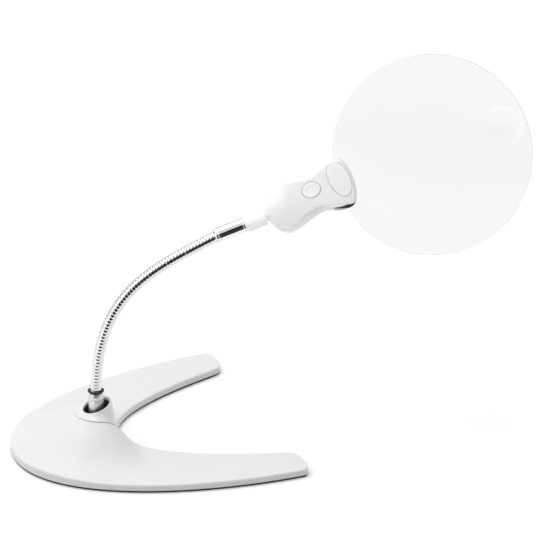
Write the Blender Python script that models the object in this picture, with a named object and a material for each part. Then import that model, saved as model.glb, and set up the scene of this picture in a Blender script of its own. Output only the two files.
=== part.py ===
"""Hands-free LED magnifier: weighted horseshoe base, plug-in chrome gooseneck, battery head and a rimless lens.

Units are metres, +Z up. The origin is the socket's axis at the underside of the base; +X runs from
the rounded nose towards the open ends of the two legs; the object is shown with its neck bent
forwards and turned slightly to -Y. Dimensions below are in millimetres and are scaled by MM.
"""

from math import cos, exp, pi, radians, sin, sqrt

import bpy
import bmesh
from mathutils import Matrix, Vector

MM = 0.001
GAP = 0.3  # between pieces that touch

# ---- base -------------------------------------------------------------------------------------
NOSE_X = -57.4  # rounded end
TIP_X = 115.0  # ends of the legs
TIP_INNER_Y, TIP_OUTER_Y = 66.9, 92.3
NOTCH_X = 15.6  # bottom of the notch between the legs
OUTER_HANDLES = (59.0, 85.0, 0.0)  # nose bulge, leg reach, leg slope
INNER_HANDLES = (28.0, 59.0, 0.289)
TIP_CORNER_R = 6.0
LEG_TOP = 5.7
PAD_T = 1.2
SHELL_BOTTOM = PAD_T + GAP
SHELL_WALL = 2.0
SHELL_ROOF = 1.6
EDGE_R = 1.3
PLATE_Z = (SHELL_BOTTOM + 0.1, 3.8)
HUMP_H = 20.2  # above the legs
HUMP_X = -9.0  # where the ridge is highest
HUMP_NOSE, HUMP_NOTCH, HUMP_SIDE = 27.0, 22.5, 36.0  # how far it spreads
RIBS = 14  # stations along each leg
BASE_SCREWS = ((-47.0, 0.0), (2.0, 47.0), (2.0, -47.0))

# ---- socket -----------------------------------------------------------------------------------
RIM_Z, RIM_TILT = 30.4, radians(18.0)  # the rim is low towards the nose
HOLE_R, TUBE_R, FLANGE_R = 8.7, 9.9, 14.6
TUBE_BOTTOM = 7.0
BUSH_Z = (8.2, 19.0)

# ---- neck -------------------------------------------------------------------------------------
NECK_TURN = radians(-13.46)  # heading of the neck's bend, from +X towards -Y
FERRULE_R, NECK_R = 5.1, 3.8
FERRULE_Z = (8.6, 39.8)
NECK_FROM = Vector((0.1, 41.6))  # (reach, height) of the flexible part's ends
NECK_TO = Vector((79.7, 146.0))
NECK_LEAN, NECK_END = radians(88.3), radians(26.4)  # direction above level at the two ends
NECK_HANDLES = (69.9, 45.6)
STEM_RISE = radians(20.0)  # the stem and its sleeve, above level
SEGMENTS = 10
SEAM = 1.3  # open gap at each seam, so that the segments can tip
SLEEVE_LEN, STEM_LEN, STEM_R = 20.6, 14.6, 5.6

# ---- head -------------------------------------------------------------------------------------
HEAD_RISE = radians(18.04)  # head's axis above level
LENS_AT = Vector((215.7, -51.6, 194.7))  # lens centre
LENS_R, LENS_EDGE, LENS_DOME = 65.0, 2.4, 2.6
SPOT_AT, SPOT_R, SPOT_DOME = (48.4, 0.6), 13.4, 2.0
HEEL_U, CLAMP_U = -113.9, -52.8  # ends of the head along its axis
WAIST_U, WAIST_W, HEEL_W, CLAMP_W = -78.0, 13.1, 17.2, 16.8
FRONT_N, BACK_N = 8.8, -15.6
HEAD_WALL = 1.8
BUTTON_AT, BUTTON_R = (-81.3, 4.9), (6.5, 5.35)
PANEL_AT, PANEL_R, PANEL_TURN = (-61.7, 5.6), (7.2, 13.0), radians(7.5)
AAA_R, AAA_LEN = 5.1, 44.5

for old in list(bpy.data.objects):
    bpy.data.objects.remove(old, do_unlink=True)

MATERIALS = {}


def material(name, colour, roughness, metallic=0.0, alpha=1.0):
    mat = bpy.data.materials.new(name)
    mat.use_nodes = True
    node = mat.node_tree.nodes["Principled BSDF"]
    node.inputs["Base Color"].default_value = (*colour, 1.0)
    node.inputs["Roughness"].default_value = roughness
    node.inputs["Metallic"].default_value = metallic
    node.inputs["Alpha"].default_value = alpha
    mat.diffuse_color = (*colour, alpha)
    return mat


KINDS = {
    "white_plastic": ((0.86, 0.86, 0.87), 0.28, 0.0, 1.0),
    "grey_plastic": ((0.72, 0.73, 0.75), 0.4, 0.0, 1.0),
    "black_rubber": ((0.02, 0.02, 0.022), 0.75, 0.0, 1.0),
    "black_plastic": ((0.03, 0.03, 0.033), 0.45, 0.0, 1.0),
    "steel": ((0.42, 0.42, 0.43), 0.45, 1.0, 1.0),
    "chrome": ((0.85, 0.85, 0.87), 0.08, 1.0, 1.0),
    "lens": ((0.97, 0.98, 0.98), 0.02, 0.0, 0.3),
    "cell": ((0.10, 0.12, 0.16), 0.35, 0.2, 1.0),
    "brass": ((0.72, 0.55, 0.28), 0.3, 1.0, 1.0),
    "board": ((0.02, 0.18, 0.08), 0.5, 0.0, 1.0),
    "led": ((0.95, 0.93, 0.80), 0.15, 0.0, 1.0),
}


def mesh_object(name, bm, kind, frame=None, parent=None, sharp=None):
    """A node made from bm, whose points are in millimetres in the frame."""
    bmesh.ops.scale(bm, vec=(MM, MM, MM), verts=bm.verts)
    bmesh.ops.recalc_face_normals(bm, faces=bm.faces)
    mesh = bpy.data.meshes.new(name)
    bm.to_mesh(mesh)
    bm.free()
    obj = bpy.data.objects.new(name, mesh)
    bpy.context.scene.collection.objects.link(obj)
    if kind:
        mesh.materials.append(material(name, *KINDS[kind]))
    if parent:
        obj.parent = parent
        obj.matrix_parent_inverse = parent.matrix_world.inverted()
    if frame is not None:
        obj.matrix_basis = frame
    if sharp:
        mesh.shade_smooth()
        mesh.set_sharp_from_angle(angle=radians(sharp))
    return obj


def empty(name, matrix, parent=None):
    obj = bpy.data.objects.new(name, None)
    bpy.context.scene.collection.objects.link(obj)
    obj.empty_display_size = 0.01
    if parent:
        obj.parent = parent
        obj.matrix_parent_inverse = parent.matrix_world.inverted()
    obj.matrix_basis = matrix
    bpy.context.view_layer.update()
    return obj


def loft(rings, loop=False):
    """A closed surface through rings of equal length. With loop, the last ring joins the first."""
    bm = bmesh.new()
    made = [[bm.verts.new(p) for p in ring] for ring in rings]
    pairs = list(zip(made, made[1:])) + ([(made[-1], made[0])] if loop else [])
    count = len(rings[0])
    for a, b in pairs:
        for i in range(count):
            j = (i + 1) % count
            bm.faces.new((a[i], a[j], b[j], b[i]))
    if not loop:
        bm.faces.new(list(reversed(made[0])))
        bm.faces.new(made[-1])
    return bm


def circle(radius, count, height=0.0, centre=(0.0, 0.0)):
    return [
        (
            centre[0] + radius * cos(2 * pi * i / count),
            centre[1] + radius * sin(2 * pi * i / count),
            height,
        )
        for i in range(count)
    ]


def turned(profile, count, centre=(0.0, 0.0), loop=False):
    """A solid of revolution about Z from (radius, height) pairs; with loop, a ring with a bore."""
    return loft([circle(r, count, z, centre) for r, z in profile], loop)


def cut(target, cutter, operation="DIFFERENCE"):
    cutter.hide_render = True
    cutter.display_type = "WIRE"
    step = target.modifiers.new(cutter.name, "BOOLEAN")
    step.operation = operation
    step.solver = "EXACT"
    step.object = cutter


def cutter(name, bm, frame=None):
    return mesh_object(name, bm, None, frame)


def cubic(points, t):
    a, b, c, d = (Vector(p) for p in points)
    s = 1 - t
    return a * s**3 + b * 3 * s * s * t + c * 3 * s * t * t + d * t**3


# ================================================================================== the base
def outer_edge(t):
    bulge, reach, slope = OUTER_HANDLES
    points = (
        (NOSE_X, 0),
        (NOSE_X, bulge),
        (TIP_X - reach, TIP_OUTER_Y - slope * reach),
        (TIP_X, TIP_OUTER_Y),
    )
    return cubic(points, t + 0.56 * t * (1 - t))


def inner_edge(t):
    bulge, reach, slope = INNER_HANDLES
    points = (
        (NOTCH_X, 0),
        (NOTCH_X, bulge),
        (TIP_X - reach, TIP_INNER_Y - slope * reach),
        (TIP_X, TIP_INNER_Y),
    )
    return cubic(points, t)


def hump(x, y):
    """Height of the base's top over the legs' flat top."""
    if x < HUMP_X:
        along = exp(-(((HUMP_X - x) / HUMP_NOSE) ** 2))
    else:
        along = exp(-(((x - HUMP_X) / HUMP_NOTCH) ** 4))
    return HUMP_H * along * exp(-((abs(y) / HUMP_SIDE) ** 3))


def base_body(inset, bottom, top, edge, across, ribs):
    """The horseshoe, lofted from rib to rib round the nose, moved in from the base's edge by inset."""
    rings = []
    corner = max(TIP_CORNER_R - inset, 1.5)
    tip = [0.046, 0.031, 0.018, 0.008, 0.002, 0.0]
    stations = [(1 - tip[0]) * i / ribs for i in range(ribs)] + [1 - d for d in tip]
    for side in (-1, 1):
        for t in stations if side > 0 else list(reversed(stations))[:-1]:
            a, b = inner_edge(t), outer_edge(t)
            middle = (a + b) / 2
            to_end = TIP_X - middle.x
            half = (b - a).length / 2 - inset
            direction = (b - a).normalized()
            if t >= stations[ribs - 1] and to_end < corner + 0.01:
                half += sqrt(max(corner**2 - (corner - to_end) ** 2, 0)) - corner
            if t >= stations[ribs]:
                middle = middle - Vector((inset, 0))
            steps = [(0.0, None), (0.0, edge), (0.29 * edge, 0.29 * edge), (edge, 0.0)]
            if edge < 0.2:
                steps = [(0.0, None), (0.0, 0.0)]
            span = 2 * half - 2 * edge
            flat = [edge + span * i / across for i in range(1, across)]
            offsets = (
                steps
                + [(d, 0.0) for d in flat]
                + [(2 * half - d, drop) for d, drop in reversed(steps)]
            )
            ring = []
            for d, drop in offsets:
                p = middle + direction * (d - half)
                z = bottom if drop is None else top(p.x, p.y) - drop
                ring.append((p.x, side * p.y, z))
            rings.append(ring)
    return loft(rings)


def shell_top(x, y):
    return LEG_TOP + hump(x, y)


root = empty("base_origin", Matrix.Identity(4))

base_shell = mesh_object(
    "base_shell",
    base_body(0.0, SHELL_BOTTOM, shell_top, EDGE_R, 9, RIBS),
    "white_plastic",
    parent=root,
    sharp=38,
)
hollow = cutter(
    "cut_base_hollow",
    base_body(
        SHELL_WALL, 0.9, lambda x, y: shell_top(x, y) - SHELL_ROOF, 0.2, 7, RIBS
    ),
)
cut(base_shell, hollow)
for number, (x, y) in enumerate(BASE_SCREWS, 1):
    post = turned(((2.6, PLATE_Z[1] + GAP), (2.6, shell_top(x, y) - 1.2)), 14, (x, y))
    cut(base_shell, cutter(f"post_{number}", post), "UNION")
    pilot = turned(((1.5, 3.0), (1.5, shell_top(x, y) - 2.0)), 10, (x, y))
    cut(base_shell, cutter(f"cut_pilot_{number}", pilot))
mouth = turned(((TUBE_R + GAP, 5.0), (TUBE_R + GAP, 45.0)), 32)
cut(base_shell, cutter("cut_socket_mouth", mouth))

ballast_plate = mesh_object(
    "ballast_plate",
    base_body(SHELL_WALL + 0.5, PLATE_Z[0], lambda x, y: PLATE_Z[1], 0.1, 1, RIBS),
    "steel",
    parent=root,
)
for number, (x, y) in enumerate(BASE_SCREWS, 1):
    seat = turned(((3.1, 1.0), (3.1, 3.1)), 14, (x, y))
    cut(ballast_plate, cutter(f"cut_seat_{number}", seat))
    way = turned(((1.6, 3.0), (1.6, 4.5)), 12, (x, y))
    cut(ballast_plate, cutter(f"cut_way_{number}", way))
    screw = turned(
        (
            (2.7, PLATE_Z[0] + 0.1),
            (2.7, 2.6),
            (1.2, 2.8),
            (1.2, shell_top(x, y) - 3.0),
            (0.6, shell_top(x, y) - 2.4),
        ),
        12,
        (x, y),
    )
    mesh_object(f"base_screw_{number}", screw, "steel", parent=root, sharp=40)

mesh_object(
    "anti_slip_pad",
    base_body(0.7, 0.0, lambda x, y: PAD_T, 0.1, 1, RIBS),
    "black_rubber",
    parent=root,
)


# ---------------------------------------------------------------------------- socket collar
def rim(radius, angle, lift=0.0):
    """A point of the slanted rim, low towards the nose."""
    x, y = radius * cos(angle), radius * sin(angle)
    return (x, y, RIM_Z + lift + x * sin(RIM_TILT) / cos(RIM_TILT))


def seated(radius, angle, lift):
    x, y = radius * cos(angle), radius * sin(angle)
    return (x, y, shell_top(x, y) + lift)


def flange(angle):
    """The flange stops short of the notch's wall."""
    x = FLANGE_R * cos(angle)
    return FLANGE_R if x < 12.4 else 12.4 / cos(angle)


sides = 30
angles = [2 * pi * i / sides for i in range(sides)]
collar_rings = [
    [(HOLE_R * cos(a), HOLE_R * sin(a), TUBE_BOTTOM) for a in angles],
    [rim(HOLE_R, a, -1.2) for a in angles],
    [rim(HOLE_R + 0.4, a, -0.3) for a in angles],
    [rim(HOLE_R + 1.1, a) for a in angles],
    [rim(HOLE_R + 2.0, a, -0.5) for a in angles],
    [
        tuple(
            Vector(rim(HOLE_R + 2.2, a, -1.2)).lerp(
                Vector(seated(flange(a) - 0.4, a, 0.9)), 0.5
            )
        )
        for a in angles
    ],
    [seated(flange(a) - 0.3, a, 0.9) for a in angles],
    [seated(flange(a), a, GAP) for a in angles],
    [seated(TUBE_R + 1.2, a, GAP) for a in angles],
    [seated(TUBE_R, a, GAP) for a in angles],
    [(TUBE_R * cos(a), TUBE_R * sin(a), TUBE_BOTTOM) for a in angles],
]
mesh_object(
    "socket_collar", loft(collar_rings, loop=True), "white_plastic", parent=root, sharp=35
)
mesh_object(
    "collar_nut",
    turned(
        (
            (TUBE_R + GAP, 8.2),
            (TUBE_R + GAP, 11.0),
            (TUBE_R + 2.4, 11.0),
            (TUBE_R + 2.4, 8.2),
        ),
        24,
        loop=True,
    ),
    "grey_plastic",
    parent=root,
    sharp=40,
)
mesh_object(
    "socket_bush",
    turned(
        (
            (FERRULE_R + 0.1, BUSH_Z[0]),
            (FERRULE_R + 0.1, BUSH_Z[1] - 1.2),
            (FERRULE_R + 1.2, BUSH_Z[1]),
            (HOLE_R - GAP, BUSH_Z[1]),
            (HOLE_R - GAP, BUSH_Z[0]),
        ),
        32,
        loop=True,
    ),
    "black_rubber",
    parent=root,
    sharp=40,
)

# ================================================================================== the neck
neck_root = empty("axis_neck_swivel", Matrix.Identity(4), root)
mesh_object(
    "lower_ferrule",
    turned(
        (
            (FERRULE_R - 0.6, FERRULE_Z[0]),
            (FERRULE_R, FERRULE_Z[0] + 0.6),
            (FERRULE_R, 36.6),
            (FERRULE_R - 0.9, 39.0),
            (FERRULE_R - 1.1, FERRULE_Z[1]),
        ),
        32,
    ),
    "chrome",
    parent=neck_root,
    sharp=40,
)
mesh_object(
    "neck_ring",
    turned(
        (
            (3.6, FERRULE_Z[1] + 0.2),
            (4.7, FERRULE_Z[1] + 0.2),
            (5.0, FERRULE_Z[1] + 0.6),
            (4.9, FERRULE_Z[1] + 1.2),
            (4.3, FERRULE_Z[1] + 1.5),
            (3.6, FERRULE_Z[1] + 1.5),
        ),
        24,
    ),
    "black_rubber",
    parent=neck_root,
    sharp=40,
)


def neck_point(t):
    start = NECK_FROM + Vector((cos(NECK_LEAN), sin(NECK_LEAN))) * NECK_HANDLES[0]
    end = NECK_TO - Vector((cos(NECK_END), sin(NECK_END))) * NECK_HANDLES[1]
    return cubic((NECK_FROM, start, end, NECK_TO), t)


def in_plane(reach, height):
    return Vector((reach * cos(NECK_TURN), reach * sin(NECK_TURN), height))


STEPS = 400
trace = [neck_point(i / STEPS) for i in range(STEPS + 1)]
lengths = [0.0]
for p, q in zip(trace, trace[1:]):
    lengths.append(lengths[-1] + (q - p).length)
NECK_LEN = lengths[-1]


def along_neck(distance):
    """(point, direction) on the neck's centreline at that length from its foot."""
    distance = min(max(distance, 0.0), NECK_LEN)
    i = min(sum(length <= distance for length in lengths) - 1, STEPS - 1)
    part = (distance - lengths[i]) / (lengths[i + 1] - lengths[i])
    point = trace[i].lerp(trace[i + 1], part)
    ahead = neck_point(min(i / STEPS + 0.01, 1.0)) - neck_point(max(i / STEPS - 0.01, 0.0))
    return in_plane(*point), in_plane(*ahead).normalized()


sideways = Vector((sin(NECK_TURN), -cos(NECK_TURN), 0.0))  # across the plane of the bend


def tube(start, stop, radius, count, rings, chamfer):
    """A bar along the neck's centreline with chamfered ends, about the neck's own curve."""
    loops = []
    inner = start + chamfer, stop - chamfer
    stations = [(start, radius - chamfer)]
    stations += [
        (inner[0] + (inner[1] - inner[0]) * i / rings, radius) for i in range(rings + 1)
    ]
    stations += [(stop, radius - chamfer)]
    for distance, r in stations:
        point, direction = along_neck(distance)
        up = sideways.cross(direction)
        loops.append(
            [
                point + sideways * (r * cos(a)) + up * (r * sin(a))
                for a in (2 * pi * i / count for i in range(count))
            ]
        )
    return loft(loops)


pitch = NECK_LEN / SEGMENTS
holder = neck_root
for number in range(1, SEGMENTS + 1):
    start, stop = (number - 1) * pitch, number * pitch
    if number > 1:
        seam, _ = along_neck(start)
        holder = empty(
            f"axis_neck_seam_{number - 1}", Matrix.Translation(seam * MM), holder
        )
    low = start + (SEAM / 2 if number > 1 else 0.1)
    high = stop - (SEAM / 2 if number < SEGMENTS else 0.1)
    body = tube(low, high, NECK_R, 14, 2, 0.4)
    # points are kept about the seam, so that each segment's origin is on its own joint
    origin = along_neck(start)[0] if number > 1 else Vector((0, 0, 0))
    bmesh.ops.translate(body, vec=-origin, verts=body.verts)
    mesh_object(
        f"gooseneck_{number:02d}",
        body,
        "chrome",
        Matrix.Translation(origin * MM),
        holder,
        40,
    )

# ================================================================================== the head
HEAD_AXIS = in_plane(cos(HEAD_RISE), sin(HEAD_RISE))
LENS_NORMAL = (sideways - HEAD_AXIS * sideways.dot(HEAD_AXIS)).normalized()
LENS_TIP = radians(26.12)  # the lens leans back about the head's axis, from upright
LENS_NORMAL = Matrix.Rotation(-LENS_TIP, 3, HEAD_AXIS) @ LENS_NORMAL
ACROSS = LENS_NORMAL.cross(HEAD_AXIS)
head_frame = Matrix.Translation(LENS_AT * MM) @ Matrix(
    (
        (HEAD_AXIS.x, ACROSS.x, LENS_NORMAL.x, 0),
        (HEAD_AXIS.y, ACROSS.y, LENS_NORMAL.y, 0),
        (HEAD_AXIS.z, ACROSS.z, LENS_NORMAL.z, 0),
        (0, 0, 0, 1),
    )
)


def from_head(u, v, n=0.0):
    return LENS_AT + HEAD_AXIS * u + ACROSS * v + LENS_NORMAL * n


STEM_AXIS = in_plane(cos(STEM_RISE), sin(STEM_RISE))
heel = from_head(HEEL_U, -0.8)
stem_quat = Vector((0, 0, 1)).rotation_difference(STEM_AXIS)
stem_frame = Matrix.Translation(heel * MM) @ stem_quat.to_matrix().to_4x4()

# chrome sleeve and white stem, lengths measured back from the heel
mesh_object(
    "upper_ferrule",
    turned(
        (
            (FERRULE_R - 1.1, -STEM_LEN - SLEEVE_LEN - 0.6),
            (FERRULE_R - 0.9, -STEM_LEN - SLEEVE_LEN + 0.2),
            (FERRULE_R, -STEM_LEN - SLEEVE_LEN + 2.2),
            (FERRULE_R, -STEM_LEN - 0.5),
            (FERRULE_R - 0.4, -STEM_LEN - GAP),
        ),
        28,
    ),
    "chrome",
    stem_frame,
    holder,
    40,
)
head_swivel = empty("axis_head_swivel", stem_frame, holder)
mesh_object(
    "head_stem",
    turned(
        (
            (STEM_R - 0.5, -STEM_LEN),
            (STEM_R, -STEM_LEN + 0.5),
            (STEM_R, -1.0),
            (STEM_R - 0.6, -0.5),
            (3.4, -0.5),
            (3.4, 3.6),
        ),
        28,
    ),
    "white_plastic",
    stem_frame,
    head_swivel,
    40,
)


def ease(x):
    x = min(max(x, 0.0), 1.0)
    return x * x * (3 - 2 * x)


def half_width(u, inset):
    """Half the head's width at u, for an outline moved in by inset."""
    if u < WAIST_U:
        wide = WAIST_W + (HEEL_W - WAIST_W) * ease((WAIST_U - u) / 24)
    else:
        wide = WAIST_W + (CLAMP_W - WAIST_W) * ease((u - WAIST_U) / 13)
    wide -= inset
    heel_end, clamp_end = HEEL_U + inset, CLAMP_U - inset
    round_heel, round_clamp = 13.0 - inset, 9.0 - inset
    if u < heel_end + round_heel:
        wide *= sqrt(max(1 - ((heel_end + round_heel - u) / round_heel) ** 2, 0.0))
    if u > clamp_end - round_clamp:
        d = (u - clamp_end + round_clamp) / round_clamp
        wide *= sqrt(max(1 - d**2.8, 0.0))
    return wide


def middle_line(u):
    return 0.5 + 2.3 * ease((u + 104.0) / 40.0)


def outline(inset, count=15):
    """The head's outline, heel to clamp end and back, as (u, v)."""
    start, stop = HEEL_U + inset, CLAMP_U - inset
    span = stop - start
    top = []
    for i in range(count + 1):
        u = start + span * (1 - cos(pi * i / count)) / 2
        top.append((u, half_width(u, inset)))
    upper = [(u, middle_line(u) + w) for u, w in top]
    lower = [(u, middle_line(u) - w) for u, w in reversed(top[1:-1])]
    return upper + lower


def slab(levels):
    """A body between levels of (inset, n)."""
    return loft([[(u, v, n) for u, v in outline(inset)] for inset, n in levels])


def disc(centre, radii, levels, count=24, turn=0.0):
    """An oval body; levels are (inset, n)."""
    rings = []
    for inset, n in levels:
        ring = []
        for i in range(count):
            a = 2 * pi * i / count
            x, y = (radii[0] - inset) * cos(a), (radii[1] - inset) * sin(a)
            ring.append(
                (
                    centre[0] + x * cos(turn) - y * sin(turn),
                    centre[1] + x * sin(turn) + y * cos(turn),
                    n,
                )
            )
        rings.append(ring)
    return loft(rings)


def block(low, high):
    bm = bmesh.new()
    bmesh.ops.create_cube(bm, size=1.0)
    for vert in bm.verts:
        for k in range(3):
            vert.co[k] = low[k] if vert.co[k] < 0 else high[k]
    return bm


def in_head(name, bm, kind, sharp=None, parent=None):
    return mesh_object(name, bm, kind, head_frame, parent or head_swivel, sharp)


SPLIT = 0.15  # half the gap between the two shells
front_shell = in_head(
    "head_front_shell",
    slab(
        (
            (0.0, SPLIT),
            (0.0, FRONT_N - 3.6),
            (0.6, FRONT_N - 1.9),
            (2.0, FRONT_N - 0.5),
            (3.4, FRONT_N),
        )
    ),
    "white_plastic",
    30,
)
rear_shell = in_head(
    "head_rear_shell",
    slab(
        (
            (3.4, BACK_N),
            (1.7, BACK_N + 0.7),
            (0.5, BACK_N + 2.4),
            (0.0, BACK_N + 4.4),
            (0.0, -SPLIT),
        )
    ),
    "white_plastic",
    30,
)
cut(
    front_shell,
    cutter(
        "cut_front_hollow",
        slab(((HEAD_WALL, -0.6), (HEAD_WALL, 5.0), (HEAD_WALL + 1.8, FRONT_N - HEAD_WALL))),
        head_frame,
    ),
)
cut(
    rear_shell,
    cutter(
        "cut_rear_hollow",
        slab(((HEAD_WALL + 1.6, BACK_N + HEAD_WALL), (HEAD_WALL, -9.4), (HEAD_WALL, 0.6))),
        head_frame,
    ),
)
# clamp pads that grip the lens, one in each shell
PAD_U = (-61.2, CLAMP_U - 1.0)
for shell, low, high in (
    (front_shell, 2.6, FRONT_N - 0.9),
    (rear_shell, BACK_N + 1.0, -3.2),
):
    name = "pad_" + shell.name
    cut(
        shell,
        cutter(name, block((PAD_U[0], -8.0, low), (PAD_U[1], 11.0, high)), head_frame),
        "UNION",
    )
slot = turned(((LENS_R + 0.5, -2.5), (LENS_R + 0.5, 2.5)), 72)
cut(front_shell, cutter("cut_lens_slot", slot, head_frame))
GASKET_U, GASKET_N = -73.0, (-2.9, -0.45)
step = block((GASKET_U - GAP, -40.0, GASKET_N[0] - GAP), (-40.0, 40.0, 2.0))
cut(rear_shell, cutter("cut_gasket_seat", step, head_frame))
for shell in (front_shell, rear_shell):
    stub = turned(((3.8, -3.0), (3.8, 6.0)), 20)
    cut(shell, cutter("cut_stem_" + shell.name, stub, stem_frame))

# ---- switch ------------------------------------------------------------------------------------
hole = disc(BUTTON_AT, (BUTTON_R[0] + GAP, BUTTON_R[1] + GAP), ((0, 6.0), (0, 12.0)), 24)
cut(front_shell, cutter("cut_button", hole, head_frame))
button_frame = head_frame @ Matrix.Translation(
    Vector((BUTTON_AT[0], BUTTON_AT[1], 0)) * MM
)
button_axis = empty("axis_button", button_frame, head_swivel)
mesh_object(
    "power_button",
    disc(
        (0, 0),
        BUTTON_R,
        (
            (-0.8, 5.4),
            (-0.8, 6.5),
            (0.0, 6.5),
            (0.0, FRONT_N + 0.3),
            (0.7, FRONT_N + 0.8),
            (2.6, FRONT_N + 1.05),
        ),
    ),
    "white_plastic",
    button_frame,
    button_axis,
    35,
)
in_head("circuit_board", block((-100.0, -6.0, 1.0), (-70.0, 9.0, 2.2)), "board")
in_head(
    "tact_switch",
    disc(BUTTON_AT, (3.0, 3.0), ((0, 2.5), (0, 3.8), (1.4, 3.8), (1.4, 4.4)), 16),
    "black_plastic",
)

# ---- batteries, their contacts and their door -------------------------------------------------
CELL_U = (-107.3, -107.3 + AAA_LEN)
CELL_N = BACK_N + HEAD_WALL + GAP + AAA_R
cell_turn = Matrix.Rotation(pi / 2, 4, "Y")
for number, (v, flip) in enumerate(((7.35, 0), (-3.05, 1)), 1):
    shape = turned(
        (
            (AAA_R - 0.3, 0.0),
            (AAA_R, 0.4),
            (AAA_R, AAA_LEN - 1.6),
            (AAA_R - 0.4, AAA_LEN - 1.0),
            (1.9, AAA_LEN - 1.0),
            (1.9, AAA_LEN),
        ),
        16,
    )
    bmesh.ops.transform(shape, matrix=cell_turn, verts=shape.verts)
    if flip:
        bmesh.ops.transform(
            shape,
            matrix=Matrix.Translation((AAA_LEN, 0, 0)) @ Matrix.Rotation(pi, 4, "Z"),
            verts=shape.verts,
        )
    bmesh.ops.translate(shape, vec=(CELL_U[0], v, CELL_N), verts=shape.verts)
    in_head(f"battery_{number}", shape, "cell", 35)
in_head(
    "contact_plate",
    block((CELL_U[1] + 0.3, -6.0, BACK_N + 3.6), (CELL_U[1] + 0.8, 10.4, -4.4)),
    "brass",
)

DOOR_U, DOOR_V = (-103.0, -68.0), (-5.8, 10.2)
opening = block((DOOR_U[0], DOOR_V[0], BACK_N - 2.0), (DOOR_U[1], DOOR_V[1], BACK_N + 4.0))
cut(rear_shell, cutter("cut_door", opening, head_frame))
door_frame = head_frame @ Matrix.Translation(
    Vector(((DOOR_U[0] + DOOR_U[1]) / 2, (DOOR_V[0] + DOOR_V[1]) / 2, BACK_N)) * MM
)
door_axis = empty("axis_battery_door", door_frame, head_swivel)
door_half = ((DOOR_U[1] - DOOR_U[0]) / 2 - GAP, (DOOR_V[1] - DOOR_V[0]) / 2 - GAP)
mesh_object(
    "battery_door",
    loft(
        [
            [
                (x * (door_half[0] - s), y * (door_half[1] - s), n)
                for x, y in ((-1, -1), (1, -1), (1, 1), (-1, 1))
            ]
            for s, n in ((0.4, 0.0), (0.0, 0.4), (0.0, 1.6))
        ]
    ),
    "white_plastic",
    door_frame,
    door_axis,
)

# ---- cover panel over the clamp, screws, lamps -------------------------------------------------
in_head(
    "cover_panel",
    disc(
        PANEL_AT,
        PANEL_R,
        ((0.5, FRONT_N + GAP), (0.0, FRONT_N + 0.5), (0.0, FRONT_N + 0.9), (0.8, FRONT_N + 1.4)),
        32,
        PANEL_TURN,
    ),
    "white_plastic",
    35,
)
for number, v in enumerate((-5.4, 9.4), 1):
    way = turned(((2.6, BACK_N - 1.0), (2.6, BACK_N + 1.5)), 14, (-59.2, v))
    cut(rear_shell, cutter(f"cut_head_screw_{number}", way, head_frame))
    shape = turned(((2.2, BACK_N + 0.4), (2.2, BACK_N + 1.2)), 14, (-59.2, v))
    in_head(f"head_screw_{number}", shape, "steel", 40)
for number, v in enumerate((-0.7, 4.7), 1):
    way = turned(((1.9, BACK_N - 1.0), (1.9, BACK_N + 2.4)), 14, (-59.0, v))
    cut(rear_shell, cutter(f"cut_led_{number}", way, head_frame))
    shape = turned(
        ((0.8, BACK_N - 0.7), (1.35, BACK_N - 0.1), (1.5, BACK_N + 0.8), (1.5, BACK_N + 2.1)),
        14,
        (-59.0, v),
    )
    in_head(f"led_{number}", shape, "led", 40)

# ---- lens and the gasket that grips it ---------------------------------------------------------
lens_levels = 4
front = [
    (
        LENS_R * sin(pi / 2 * i / lens_levels),
        LENS_EDGE / 2 + LENS_DOME * cos(pi / 2 * i / lens_levels) ** 2,
    )
    for i in range(1, lens_levels + 1)
]
lens_profile = [(r, -z) for r, z in front] + [(r, z) for r, z in reversed(front)]
lens = in_head("lens", turned(lens_profile, 64), "lens", 30)
spot = []
for i in range(1, 5):
    a = pi / 2 * i / 4
    spot.append((SPOT_R * sin(a), LENS_EDGE / 2 + 0.9 + SPOT_DOME * cos(a)))
spot = [(SPOT_R, 0.4)] + list(reversed(spot))
cut(lens, cutter("spot_bump", turned(spot, 32, SPOT_AT), head_frame), "UNION")

gasket = in_head(
    "lens_gasket",
    slab(
        (
            (-0.3, GASKET_N[0]),
            (-0.8, GASKET_N[0] + 0.5),
            (-0.8, GASKET_N[1] - 0.5),
            (-0.3, GASKET_N[1]),
        )
    ),
    "black_rubber",
)
rest = block((-130.0, -40.0, -10.0), (GASKET_U, 40.0, 10.0))
cut(gasket, cutter("cut_gasket_end", rest, head_frame))
pocket = turned(((LENS_R + 0.4, -2.35), (LENS_R + 0.4, 5.0)), 72)
cut(gasket, cutter("cut_gasket_pocket", pocket, head_frame))
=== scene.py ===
from math import asin, atan2, cos, exp, pi, radians, sin, sqrt

import bmesh
import bpy
from mathutils import Matrix, Vector


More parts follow.
